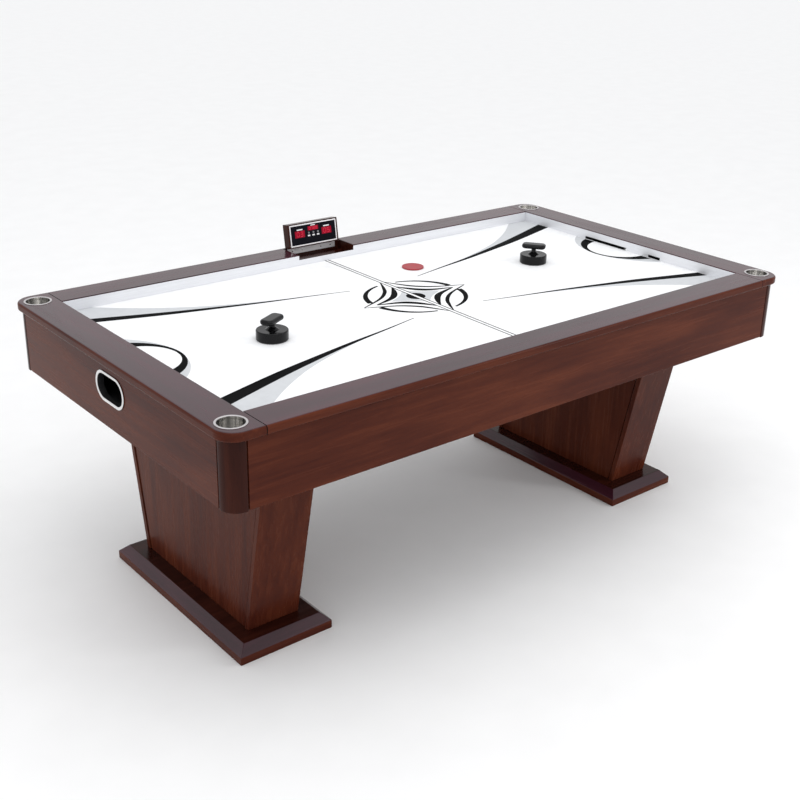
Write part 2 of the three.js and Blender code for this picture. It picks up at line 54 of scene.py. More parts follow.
# Rails
RAIL_T = 25.5 * MM
RAIL_ROUND = 7 * MM
RAIL_CORNER = 57.6 * MM
RAIL_JOINT = 1.9 * MM  # shadow gap at each end of a side rail
POST_CORNER = RAIL_CORNER - 12 * MM
APRON_JOINT = 1.6 * MM  # width of the shadow groove at both ends of each apron board
GROOVE_DEPTH = 5 * MM
PANEL_JOINT = 2.6 * MM  # gap at both edges of a pedestal's panel, where it is widest
EDGE = 1.2 * MM  # eased edges of the boards
GAP = 0.3 * MM  # clearance between pieces that sit in one another

# Cups, goals and ports
CUP_TOP = 35.5 * MM
CUP_BASE = 31 * MM
CUP_WALL = 1.2 * MM
CUP_BORE = CUP_TOP + 1.3 * MM  # hole round a cup, in the posts and aprons
PORT_RING = 6.5 * MM
SLEEVE = 15.5 * MM  # how far the port's black lining runs in
SLOT_TOP = 796.2 * MM
SLOT_SILL = 786 * MM
SLOT_PARTS = ((-178 * MM, -124 * MM), (-22 * MM, 178 * MM))

# Scorer, measured with its case upright over the hinge
LEAN = math.radians(9.5)
FACE = (185 * MM, 66 * MM)  # panel inside the bezel
CAVITY = (194 * MM, 75 * MM)  # the case's hollow, behind the bezel
CAVITY_DEPTH = 22 * MM
BEZEL_WIDTH = 4.2 * MM
BEZEL_DEPTH = 3.6 * MM
SCORE_WINDOW = (41, 24)  # in mm
TIMER_WINDOW = (44, 15)
SCORE_X = 55.5 * MM
SCORE_Z = 3 * MM
TIMER_Z = 18.5 * MM
KEY_PITCH = 19 * MM
KEY_Z = 3.5 * MM
KEY_R = 3.6 * MM
BAR = 1.3 * MM  # width of a digit's lit bars
WELL_NOTCH = 94.5 * MM  # depth of the notch in the rear rail, which holds the well
WALL_NOTCH = 0.114  # half the length of the notch in the rebound wall, in front of the well
WALL_NOTCH_Z = 804.5 * MM

# Hinge
LEAF_HALF = 100 * MM
LEAF_T = 0.8 * MM
LEAF_NEAR, LEAF_FAR = 1.2 * MM, 22 * MM  # a leaf's nearest and farthest from the pin's axis
KNUCKLES = 5
KNUCKLE_R = 2 * MM
PIN_R = 1.05 * MM

# Playfield print
HOLE_PITCH = 25 * MM
HOLE_R = 0.8 * MM
HOLE_SIDES = 6
HOLES_Y = 0.498  # half the width of the board that has holes
BAND = 4.5 * MM  # half width of the white band down the centre line
LINE = 4.5 * MM  # each thin line beside the band
PRINT_Y = 17  # how far the print sits from the board's middle, towards the scorer, in mm

# Strikers
BASE_R = 46.5 * MM
BASE_TOP = 28.4 * MM  # above the base's underside
NECK = 8 * MM
FLARE = 14 * MM
GRIP = (82 * MM, 42 * MM, 16 * MM)
GRIP_CORNER = 15 * MM
STRIKERS = {"left": 27, "right": -53}  # the grip's turn in degrees

# Camera
YAW, PITCH, ROLL = 0.7086, -0.3831, 0.0284
EYE = (-2.2879, -2.7108, 1.9527)
LENS = 53.234
SHIFT = (-0.0320, -0.0316)


# ---- materials

class Look:
    """A procedural material: a Principled shader and the nodes that feed it."""

    def __init__(self, name, colour, roughness, metallic=0.0, **sockets):
        self.material = bpy.data.materials.new(name)
        self.material.use_nodes = True
        self.tree = self.material.node_tree
        self.shader = self.tree.nodes["Principled BSDF"]
        values = {"Base Color": (*colour, 1), "Roughness": roughness, "Metallic": metallic, **sockets}
        for socket, value in values.items():
            self.shader.inputs[socket].default_value = value
        self.object = self.tree.nodes.new("ShaderNodeTexCoord").outputs["Object"]

    def link(self, value, socket):
        if isinstance(value, bpy.types.NodeSocket):
            self.tree.links.new(value, socket)
        else:
            socket.default_value = value

    def math(self, operation, a, b):
        node = self.tree.nodes.new("ShaderNodeMath")
        node.operation = operation
        self.link(a, node.inputs[0])
        self.link(b, node.inputs[1])
        return node.outputs[0]

    def noise(self, scale, detail=3.0, distortion=0.0, offset=(0, 0, 0)):
        """Noise with so many features a metre along each axis."""
        space = self.tree.nodes.new("ShaderNodeMapping")
        self.tree.links.new(self.object, space.inputs["Vector"])
        space.inputs["Scale"].default_value = (scale,) * 3 if isinstance(scale, (int, float)) else scale
        space.inputs["Location"].default_value = offset
        node = self.tree.nodes.new("ShaderNodeTexNoise")
        self.tree.links.new(space.outputs[0], node.inputs["Vector"])
        for socket, value in (("Scale", 1.0), ("Detail", detail), ("Distortion", distortion)):
            node.inputs[socket].default_value = value
        return node.outputs["Fac"]

    def blend(self, parts):
        """The weighted sum of several noises."""
        total = 0.0
        for weight, value in parts:
            total = self.math("ADD", self.math("MULTIPLY", value, weight), total)
        return total

    def ramp(self, factor, stops):
        """A colour, or a grey where the stops give one number, that follows factor."""
        node = self.tree.nodes.new("ShaderNodeValToRGB")
        self.tree.links.new(factor, node.inputs[0])
        points = node.color_ramp.elements
        while len(points) < len(stops):
            points.new(0.5)
        for point, (place, value) in zip(points, stops):
            point.position = place
            point.color = (*value, 1) if isinstance(value, tuple) else (value, value, value, 1)
        return node.outputs["Color"]

    def colour(self, value):
        self.tree.links.new(value, self.shader.inputs["Base Color"])

    def roughness(self, value):
        self.tree.links.new(value, self.shader.inputs["Roughness"])

    def bump(self, height, strength, distance):
        node = self.tree.nodes.new("ShaderNodeBump")
        node.inputs["Strength"].default_value = strength
        node.inputs["Distance"].default_value = distance
        self.tree.links.new(height, node.inputs["Height"])
        self.tree.links.new(node.outputs[0], self.shader.inputs["Normal"])


def stretched(along, lengthwise, across):
    """A noise scale that is drawn out along one axis."""
    scale = [across] * 3
    scale[along] = lengthwise
    return tuple(scale)


def wood(name, along, tones, roughness, gloss):
    """Lacquered veneer whose grain runs along one axis, in dark, middle and light tones."""
    look = Look(name, tones[1], roughness, **{"IOR": gloss})
    figure = look.noise(stretched(along, 1.3, 8.0), 3, 0.9, (3.1, 1.7, 5.3))
    streaks = look.noise(stretched(along, 4.5, 70.0), 4, 0.5)
    pores = look.noise(stretched(along, 40.0, 900.0), 2)
    tone = look.blend(((0.50, figure), (0.32, streaks), (0.18, pores)))
    look.colour(look.ramp(tone, tuple(zip((0.35, 0.5, 0.65), tones))))
    look.roughness(look.ramp(streaks, ((0.3, roughness - 0.05), (0.7, roughness + 0.07))))
    look.bump(pores, 0.10, 0.2 * MM)
    return look.material


def print_coat(name, colour, roughness, gloss=1.18):
    """A printed or plain laminate: a very slight mottle and an orange-peel gloss."""
    look = Look(name, colour, roughness, **{"IOR": gloss})
    mottle = look.noise(38.0, 3)
    deep, pale = (tuple(c * k for c in colour) for k in (0.97, 1.02))
    look.colour(look.ramp(mottle, ((0.35, deep), (0.65, tuple(min(c, 1) for c in pale)))))
    look.roughness(look.ramp(mottle, ((0.3, roughness - 0.04), (0.7, roughness + 0.06))))
    look.bump(look.noise(420.0, 2), 0.03, 0.1 * MM)
    return look.material


def brushed(name, colour, roughness, along, metallic=1.0, bands=0.3, depth=0.14, fine=2600.0):
    """Metal brushed along one axis; bands is the share of wide soft streaks in its tone, depth their
    contrast and fine the number of hairlines a metre. Strong, deep bands, as on the cups' steel, are painted
    reflection streaks."""
    look = Look(name, colour, roughness, metallic)
    hairs = look.noise(stretched(along, 14.0, fine), 3)
    wide = look.noise(stretched(along, 1.0, 62.0), 2)
    deep = tuple(c * (1 - depth) for c in colour)
    tone = look.blend(((1 - bands, hairs), (bands, wide)))
    look.colour(look.ramp(tone, ((0.35, deep), (0.62, colour))))
    look.roughness(look.ramp(hairs, ((0.3, roughness - 0.07), (0.7, roughness + 0.1))))
    look.bump(hairs, 0.06, 0.05 * MM)
    return look.material


def plastic(name, colour, roughness, grain=900.0, relief=0.12, **sockets):
    """Moulded plastic: a fine even grain and slight marks of handling."""
    look = Look(name, colour, roughness, **sockets)
    marks = look.noise(45.0, 4)
    deep, pale = (tuple(c * k for c in colour) for k in (0.88, 1.15))
    look.colour(look.ramp(marks, ((0.35, deep), (0.68, pale))))
    look.roughness(look.ramp(marks, ((0.3, roughness - 0.06), (0.7, roughness + 0.08))))
    look.bump(look.noise(grain, 2), relief, 0.08 * MM)
    return look.material


def felt_cloth(name, colour):
    look = Look(name, colour, 0.95, **{"Sheen Weight": 0.5, "Sheen Roughness": 0.6})
    fibres = look.noise(1500.0, 4, 2.0)
    deep = tuple(c * 0.6 for c in colour)
    look.colour(look.ramp(fibres, ((0.35, deep), (0.65, colour))))
    look.bump(fibres, 0.6, 0.3 * MM)
    return look.material


def lit(name, colour, strength):
    """A display segment that glows through a tinted window."""
    look = Look(name, colour, 0.3, **{"Emission Color": (*colour, 1), "Emission Strength": strength})
    glow = look.noise(700.0, 1)
    look.colour(look.ramp(glow, ((0.3, tuple(c * 0.85 for c in colour)), (0.7, colour))))
    return look.material


MAHOGANY = ((0.045, 0.0090, 0.0054), (0.072, 0.0158, 0.0076), (0.106, 0.0255, 0.0110))
# A darker, purple-tinted copy of the mahogany for level faces: the darkness is painted shade and the purple
# a painted reflection.
SHADED_TOP_TONES = ((0.023, 0.0050, 0.0088), (0.039, 0.0082, 0.0150), (0.061, 0.0135, 0.0220))
ESPRESSO = ((0.019, 0.0042, 0.0028), (0.033, 0.0074, 0.0044), (0.054, 0.0130, 0.0072))
X, Y, Z = 0, 1, 2
GRAINS = ((X, "along_x"), (Y, "along_y"), (Z, "upright"))
WOOD = {axis: wood(f"mahogany_{name}", axis, MAHOGANY, 0.24, 1.17) for axis, name in GRAINS}
# The same mahogany again, in the darker purple tones of painted shade and reflection, for the rails' level
# faces and the plinth's bevel.
SHADED_TOP_WOOD = {axis: wood(f"painted_shade_top_mahogany_{name}", axis, SHADED_TOP_TONES, 0.22, 1.43)
             for axis, name in GRAINS[:2]}
DARK = {axis: wood(f"espresso_{name}", axis, ESPRESSO, 0.2, 1.19) for axis, name in GRAINS}
WHITE_LAMINATE = print_coat("white_laminate", (0.86, 0.865, 0.875), 0.45)
BLACK_PRINT = print_coat("black_print", (0.0055, 0.0055, 0.006), 0.45, 1.045)
GREY_PRINT = print_coat("grey_print", (0.56, 0.575, 0.595), 0.45)
LINE_PRINT = print_coat("line_print", (0.014, 0.014, 0.015), 0.45, 1.05)
ALUMINIUM_X = brushed("satin_aluminium_x", (0.81, 0.82, 0.85), 0.42, X, 0.35)
ALUMINIUM_Y = brushed("satin_aluminium_y", (0.81, 0.82, 0.85), 0.42, Y, 0.35)
# The cups' steel: its wide bands, from deep dark to bright down the wall, are painted reflection streaks in
# its colour.
REFLECTION_BANDED_STEEL = brushed("steel_painted_reflection_bands", (0.93, 0.915, 0.89), 0.2, Z, bands=0.9, depth=0.74, fine=420.0)
# A darker, pinkish copy of the steel for the cups' level rims: a painted reflection of the wood round them.
REFLECTION_TINTED_RIM_STEEL = brushed("rim_steel_painted_reflection", (0.60, 0.575, 0.58), 0.32, X)
CHROME = brushed("satin_chrome", (0.78, 0.775, 0.77), 0.16, Y)
BEZEL_METAL = brushed("bezel_metal", (0.72, 0.70, 0.71), 0.3, X)
HINGE_METAL = brushed("hinge_metal", (0.84, 0.83, 0.84), 0.4, X, 0.3)
MOULDED = plastic("moulded_black", (0.012, 0.012, 0.013), 0.42)
GLOSS_BLACK = plastic("gloss_black", (0.004, 0.004, 0.007), 0.1, 300.0, 0.01, IOR=1.14)
STRIKER_BLACK = plastic("striker_black", (0.0050, 0.0050, 0.0055), 0.14, 700.0, 0.02, IOR=1.27)
PUCK_RED = plastic("puck_red", (0.36, 0.050, 0.060), 0.42, 800.0, 0.05, IOR=1.25)
# The red display windows are filters, yet they are given a faint emission: a painted glow.
GLOWING_WINDOW_RED = plastic("window_red_painted_glow", (0.25, 0.0015, 0.016), 0.12, 300.0, 0.01,
                     **{"Emission Color": (0.5, 0.0, 0.02, 1), "Emission Strength": 0.1, "IOR": 1.2})
SEGMENT_RED = lit("segment_red", (0.62, 0.004, 0.03), 0.35)
PRINT_WHITE = print_coat("label_white", (0.72, 0.71, 0.72), 0.4)
KEY_GREY = plastic("key_grey", (0.16, 0.16, 0.17), 0.35, 1200.0, 0.05)
SWITCH_RED = plastic("switch_red", (0.45, 0.02, 0.02), 0.3)
IMPELLER_GREY = plastic("impeller_grey", (0.22, 0.22, 0.235), 0.4)
FELT = felt_cloth("felt", (0.055, 0.055, 0.06))


# ---- mesh tools

PLANES = {X: (1, 2, 0), Y: (0, 2, 1), Z: (0, 1, 2)}  # the outline's two axes, then the run


def rounded(corners, steps=5, closed=True):
    """Corners (u, v) or (u, v, radius) as an outline, with an arc at each corner that has a radius."""
    out = []
    last = len(corners) - 1
    for i, corner in enumerate(corners):
        point = Vector(corner[:2])
        radius = corner[2] if len(corner) > 2 else 0
        if radius == 0 or (not closed and i in (0, last)):
            out.append(tuple(point))
            continue
        before = (Vector(corners[i - 1][:2]) - point).normalized()
        after = (Vector(corners[(i + 1) % (last + 1)][:2]) - point).normalized()
        half = before.angle(after) / 2
        centre = point + (before + after).normalized() * (radius / math.sin(half))
        a = point + before * (radius / math.tan(half)) - centre
        b = point + after * (radius / math.tan(half)) - centre
        start = math.atan2(a.y, a.x)
        sweep = math.atan2(a.x * b.y - a.y * b.x, a.dot(b))
        for k in range(steps + 1):
            angle = start + sweep * k / steps
            out.append((centre.x + radius * math.cos(angle), centre.y + radius * math.sin(angle)))
    return out


def rectangle(width, height, centre=(0, 0), radius=0.0, steps=5):
    (u, v), a, b = centre, width / 2, height / 2
    corners = ((u - a, v - b), (u + a, v - b), (u + a, v + b), (u - a, v + b))
    return rounded([(*c, radius) for c in corners], steps)


def circle(radius, steps=32, centre=(0, 0)):
    turns = [math.tau * (i + 0.5) / steps for i in range(steps)]
    return [(centre[0] + radius * math.cos(t), centre[1] + radius * math.sin(t)) for t in turns]


def prism(outline, low, high, axis=Z):
    """A flat outline run along an axis."""
    a, b, c = PLANES[axis]
    bm = bmesh.new()
    ends = []
    for level in (low, high):
        ring = []
        for u, v in outline:
            place = [0, 0, 0]
            place[a], place[b], place[c] = u, v, level
            ring.append(bm.verts.new(place))
        ends.append(ring)
    bm.faces.new(ends[0][::-1])
    bm.faces.new(ends[1])
    for i in range(len(outline)):
        j = (i + 1) % len(outline)
        bm.faces.new((ends[0][i], ends[0][j], ends[1][j], ends[1][i]))
    bmesh.ops.recalc_face_normals(bm, faces=bm.faces)
    return bm


def block(low, high):
    (x0, y0, z0), (x1, y1, z1) = low, high
    return prism([(x0, y0), (x1, y0), (x1, y1), (x0, y1)], z0, z1)


def lathe(profile, centre=(0, 0), steps=64):
    """A (radius, height) profile turned about +Z; it ends on the axis or closes on itself."""
    bm = bmesh.new()
    closed = profile[0] == profile[-1]
    rows = []
    for r, z in profile[:-1] if closed else profile:
        count = 1 if r < 1e-7 else steps
        turns = [math.tau * i / steps for i in range(count)]
        rows.append([bm.verts.new((centre[0] + r * math.cos(t), centre[1] + r * math.sin(t), z))
                     for t in turns])
    for a, b in zip(rows, rows[1:] + rows[:1] if closed else rows[1:]):
        for i in range(steps):
            j = (i + 1) % steps
            quad = (a[i % len(a)], a[j % len(a)], b[j % len(b)], b[i % len(b)])
            bm.faces.new(dict.fromkeys(quad))
    bmesh.ops.recalc_face_normals(bm, faces=bm.faces)
    return bm


def hoop(path, profile, level, axis):
    """A closed (outward, forward) profile carried round a closed flat path, forward along the axis."""
    a, b, c = PLANES[axis]
    bm = bmesh.new()
    rings = []
    count = len(path)
    for i in range(count):
        here, back, on = Vector(path[i]), Vector(path[i - 1]), Vector(path[(i + 1) % count])
        before, after = (here - back).normalized(), (on - here).normalized()
        out = Vector((before.y + after.y, -before.x - after.x)).normalized()
        out /= max(out.dot(Vector((before.y, -before.x))), 0.2)
        ring = []
        for outward, forward in profile:
            place = [0, 0, 0]
            flat = here + out * outward
            place[a], place[b], place[c] = flat.x, flat.y, level + forward
            ring.append(bm.verts.new(place))
        rings.append(ring)
    for one, two in zip(rings, rings[1:] + rings[:1]):
        for k in range(len(profile)):
            m = (k + 1) % len(profile)
            bm.faces.new((one[k], one[m], two[m], two[k]))
    bmesh.ops.recalc_face_normals(bm, faces=bm.faces)
    return bm


def bend_angle(edge):
    return edge.calc_face_angle(0) if len(edge.link_faces) == 2 else 0


def ease(bm, width, steps=3, angle=30, where=None):
    """Rounds the edges that turn by more than an angle, or those of them that where picks."""
    limit = math.radians(angle)
    edges = [e for e in bm.edges if bend_angle(e) > limit]
    if where:
        edges = [e for e in edges if where(*((e.verts[0].co + e.verts[1].co) / 2))]
    bmesh.ops.bevel(bm, geom=edges, offset=width, segments=steps, profile=0.5, affect="EDGES",
                    clamp_overlap=True)
    return bm


def loose(bm):
    """A temporary object that holds the mesh."""
    mesh = bpy.data.meshes.new("working")
    bm.to_mesh(mesh)
    bm.free()
    obj = bpy.data.objects.new("working", mesh)
    bpy.context.scene.collection.objects.link(obj)
    return obj


def carve(bm, tools, operation="DIFFERENCE"):
    """The mesh with each tool cut away, or joined on with UNION."""
    target = loose(bm)
    helpers = [loose(tool) for tool in tools]
    for helper in helpers:
        modifier = target.modifiers.new("carve", "BOOLEAN")
        modifier.operation = operation
        modifier.solver = "EXACT"
        modifier.object = helper
    graph = bpy.context.evaluated_depsgraph_get()
    out = bmesh.new()
    out.from_mesh(target.evaluated_get(graph).to_mesh())
    for obj in (target, *helpers):
        mesh = obj.data
        bpy.data.objects.remove(obj)
        bpy.data.meshes.remove(mesh)
    bmesh.ops.remove_doubles(out, verts=out.verts, dist=1e-6)
    return out


def join(bm, *others):
    return carve(bm, others, "UNION")


def together(*meshes):
    """Separate closed shells kept side by side in one mesh."""
    out = bmesh.new()
    for bm in meshes:
        mesh = bpy.data.meshes.new("working")
        bm.to_mesh(mesh)
        bm.free()
        out.from_mesh(mesh)
        bpy.data.meshes.remove(mesh)
    return out


def moved(bm, matrix):
    bmesh.ops.transform(bm, matrix=matrix, verts=bm.verts)
    return bm


def cad_copy(node):
    """A CAD node's mesh with its vertices joined and its flat faces whole."""
    bm = bmesh.new()
    bm.from_mesh(frame["nodes"][node].data)
    bmesh.ops.remove_doubles(bm, verts=bm.verts, dist=1e-6)
    bmesh.ops.dissolve_limit(bm, angle_limit=math.radians(0.5), verts=bm.verts, edges=bm.edges)
    return bm


def piece(name, bm, body, materials, stands_for=(), choose=None, sharp=32, weighted=True):
    """Makes the mesh a shown piece that rides on a body; choose gives each face's material index."""
    materials = materials if isinstance(materials, (list, tuple)) else [materials]
    limit = math.radians(sharp)
    bm.normal_update()
    for face in bm.faces:
        face.smooth = True
        face.material_index = choose(face) if choose else 0
    for edge in bm.edges:
        edge.smooth = bend_angle(edge) < limit
    mesh = bpy.data.meshes.new(name)
    bm.to_mesh(mesh)
    bm.free()
    for material in materials:
        mesh.materials.append(material)
    obj = bpy.data.objects.new(name, mesh)
    bpy.context.scene.collection.objects.link(obj)
    if weighted:
        normals = obj.modifiers.new("normals", "WEIGHTED_NORMAL")
        normals.keep_sharp = True
    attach(obj, body)
    if stands_for:
        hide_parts(*([stands_for] if isinstance(stands_for, str) else stands_for))
    return obj


def refined(node, width, materials, steps=2, angle=30, body="table", choose=None):
    """A CAD node with its edges eased and finer materials."""
    piece(f"{node}_fine", ease(cad_copy(node), width, steps, angle), body, materials, node, choose)


def middle_of(node):
    low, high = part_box(node)
    return (low + high) / 2


HALF_TURN = Matrix.Rotation(math.pi, 4, "Z")
ENDS = (("right", 1), ("left", -1))
SIDES = (("rear", 1), ("front", -1))


def at_end(bm, sign):
    """Turns a piece made for the right end, or the rear side, half way round for the other."""
    return moved(bm, HALF_TURN) if sign < 0 else bm


# ---- cabinet

def rail_slab(outline, outer, top):
    """A board with its outer edges well rounded and its other top edges just eased."""
    slab = prism(outline, top - RAIL_T, top)
    ease(slab, RAIL_ROUND, 7, 60, lambda x, y, z: outer(x, y) and abs(z - top + RAIL_T / 2) > RAIL_T / 3)
    return ease(slab, EDGE / 2, 2, 60, lambda x, y, z: z > top - MM)


def outward(face):
    """The second material for a face that looks away from the table's middle and isn't level; all other
    faces keep the first, which on the rails is a darker, purple-tinted copy of the wood painted as shade and
    reflection.
    """
    centre = face.calc_center_median()
    return int(face.normal.z < 0.9 and face.normal.x * centre.x + face.normal.y * centre.y > 0)


def cup_bore(sy=1):
    """The hole for the right rear cup, or with -1 for the right front one."""
    cup = middle_of("cup_holder_right_rear")
    floor_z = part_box("cup_holder_right_rear")[0].z - 4 * MM
    return prism(circle(CUP_BORE, 48, (cup.x, sy * cup.y)), floor_z, 1)


def rails():
    low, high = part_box("end_rail_right")
    cup = middle_of("cup_holder_right_rear")
    clamp_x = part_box("end_apron_right")[0].x - GAP
    box_low, box_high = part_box("goal_box_right")
    for end, sign in ENDS:
        corners = [(low.x, low.y), (high.x, low.y, RAIL_CORNER), (high.x, high.y, RAIL_CORNER),
                   (low.x, high.y)]
        slab = rail_slab(rounded(corners, 24), lambda x, y: x > low.x + MM, high.z)
        seam_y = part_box("end_apron_right")[1].y
        clamp = block((low.x, -seam_y, low.z), (clamp_x, seam_y, high.z - RAIL_T + MM))
        room = block((low.x - MM, box_low.y - MM, 0),
                     (box_high.x + MM, box_high.y + MM, box_high.z + GAP))
        bores = [prism(circle(CUP_TOP + GAP, 64, (cup.x, sy * cup.y)), 0, 1) for sy in (-1, 1)]
        rail = carve(join(slab, clamp), [room, *bores])
        # Level and inward faces take the darker, purple-tinted copy of the wood, painted shade and
        # reflection; outward sides keep the plain mahogany.
        piece(f"end_rail_{end}_fine", at_end(rail, sign), "table", [SHADED_TOP_WOOD[Y], WOOD[Y]],
              f"end_rail_{end}", outward)

    low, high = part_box("side_rail_rear")
    notch_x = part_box("scorer_well")[1].x + GAP
    notch_y = low.y + WELL_NOTCH
    clamp_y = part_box("side_apron_rear")[0].y - GAP
    end_x = high.x - RAIL_JOINT
    plain = [(-end_x, low.y), (end_x, low.y), (end_x, high.y), (-end_x, high.y)]
    notched = [(-end_x, low.y), (-notch_x, low.y), (-notch_x, notch_y), (notch_x, notch_y),
               (notch_x, low.y), *plain[1:]]
    for side, sign in SIDES:
        outline = notched if sign > 0 else plain
        slab = rail_slab(outline, lambda x, y: y > high.y - MM, high.z)
        runs = ((low.x, -notch_x), (notch_x, high.x)) if sign > 0 else ((low.x, high.x),)
        clamps = [block((x0, low.y, low.z), (x1, clamp_y, high.z - RAIL_T + MM)) for x0, x1 in runs]
        # Level and inward faces take the darker, purple-tinted copy of the wood, painted shade and
        # reflection; outward sides keep the plain mahogany.
        piece(f"side_rail_{side}_fine", at_end(join(slab, *clamps), sign), "table",
              [SHADED_TOP_WOOD[X], WOOD[X], MOULDED], f"side_rail_{side}",
              # The side rail's end faces, in the joint, take the black moulded plastic: a painted shadow
              # line.
              lambda face: 2 if abs(face.calc_center_median().x) > end_x - 0.1 * MM else outward(face))


def corner_posts():
    low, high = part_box("corner_post_right_rear")
    corners = [(low.x, low.y), (high.x, low.y), (high.x, high.y, POST_CORNER), (low.x, high.y)]
    for end, sx in ENDS:
        for side, sy in SIDES:
            node = f"corner_post_{end}_{side}"
            post = ease(prism(rounded(corners, 20), low.z, high.z), EDGE, 3, 60)
            post = carve(post, [cup_bore()])
            if sy * sx < 0:
                moved(post, Matrix.Scale(-1, 4, (0, 1, 0)))
                bmesh.ops.reverse_faces(post, faces=post.faces)
            piece(f"{node}_fine", at_end(post, sx), "table", DARK[Z], node)


def port_outline(low, high, inset, steps=20):
    """The port's outline in Y and Z, a rectangle with round ends."""
    height = high.z - low.z - 2 * inset
    centre = ((low.y + high.y) / 2, (low.z + high.z) / 2)
    return rectangle(high.y - low.y - 2 * inset, height, centre, height / 2 - 0.05 * MM, steps)


def aprons():
    ring_low, ring_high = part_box("port_ring_right")
    low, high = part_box("end_apron_right")
    floor_x = high.x - GROOVE_DEPTH
    for end, sign in ENDS:
        grooves = [block((floor_x, y - APRON_JOINT, low.z - 1), (high.x + 1, y + APRON_JOINT, high.z + 1))
                   for y in (low.y, high.y)]
        board = carve(ease(block(low, high), EDGE, 3), grooves)
        hole = prism(port_outline(ring_low, ring_high, PORT_RING), low.x - 0.1, high.x + 0.1, X)
        board = carve(board, [hole, cup_bore(-1), cup_bore()])
        piece(f"end_apron_{end}_fine", at_end(board, sign), "table", WOOD[Y], f"end_apron_{end}")
    low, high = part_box("side_apron_rear")
    well_low, well_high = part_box("scorer_well")
    floor_y = high.y - GROOVE_DEPTH
    for side, sign in SIDES:
        grooves = [block((x - APRON_JOINT, floor_y, low.z - 1), (x + APRON_JOINT, high.y + 1, high.z + 1))
                   for x in (low.x, high.x)]
        board = carve(ease(block(low, high), EDGE, 3), grooves)
        if sign > 0:
            notch = block((well_low.x - GAP, low.y - 0.1, well_low.z - GAP),
                          (well_high.x + GAP, high.y + 0.1, 1))
            board = carve(board, [notch])
        piece(f"side_apron_{side}_fine", at_end(board, sign), "table", WOOD[X],
              f"side_apron_{side}")


def cup_holders():
    for end, _ in ENDS:
        for side, _ in SIDES:
            node = f"cup_holder_{end}_{side}"
            low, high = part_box(node)
            centre = middle_of(node)
            rim = (high.x - low.x) / 2
            z0, z1 = low.z, high.z
            shape = rounded([
                (0, z0), (CUP_BASE, z0, 3 * MM), (CUP_TOP, z1 - 9 * MM, 2 * MM),
                (CUP_TOP, z1 - 1.4 * MM, 0.4 * MM), (rim, z1 - 1.4 * MM, 0.35 * MM), (rim, z1, 0.9 * MM),
                (CUP_TOP - CUP_WALL, z1, 1.1 * MM), (CUP_TOP - CUP_WALL, z1 - 9 * MM, 2 * MM),
                (CUP_BASE - CUP_WALL, z0 + CUP_WALL, 3 * MM), (22 * MM, z0 + CUP_WALL, 1 * MM),
                (20 * MM, z0 + 2 * CUP_WALL, 1 * MM), (0, z0 + 2 * CUP_WALL),
            ], 5, closed=False)
            # The level rim takes the darker, pinkish rim steel, a painted reflection of the wood round it.
            piece(f"{node}_fine", lathe(shape, (centre.x, centre.y), 72), "table", [REFLECTION_BANDED_STEEL, REFLECTION_TINTED_RIM_STEEL],
                  node, lambda face: int(face.calc_center_median().z > z1 - 2 * MM),
                  weighted=False)


# ---- playing surface

def smooth_line(points, steps):
    """A smooth line through the given points."""
    points = [np.array(p, float) for p in points]
    padded = [2 * points[0] - points[1], *points, 2 * points[-1] - points[-2]]
    out = []
    for a, b, c, d in zip(padded, padded[1:], padded[2:], padded[3:]):
        for t in np.arange(steps) / steps:
            out.append(0.5 * (2 * b + (c - a) * t + (2 * a - 5 * b + 4 * c - d) * t ** 2
                              + (3 * b - a - 3 * c + d) * t ** 3))
    return np.array([*out, points[-1]])


def stroke(line, width):
    """The outline of a line whose width at each fraction of its run is given by a function."""
    ahead = np.gradient(line, axis=0)
    side = np.stack((-ahead[:, 1], ahead[:, 0]), 1) / np.linalg.norm(ahead, axis=1)[:, None]
    half = np.array([width(t) / 2 for t in np.linspace(0, 1, len(line))])[:, None]
    return np.concatenate((line + side * half, (line - side * half)[::-1]))


def arc(centre_x, radius, angle, steps):
    """Points on a circle about (centre_x, 0), from -angle to +angle about +X."""
    turns = np.linspace(-angle, angle, steps + 1)
    return np.stack((centre_x + radius * np.cos(turns), radius * np.sin(turns)), 1)


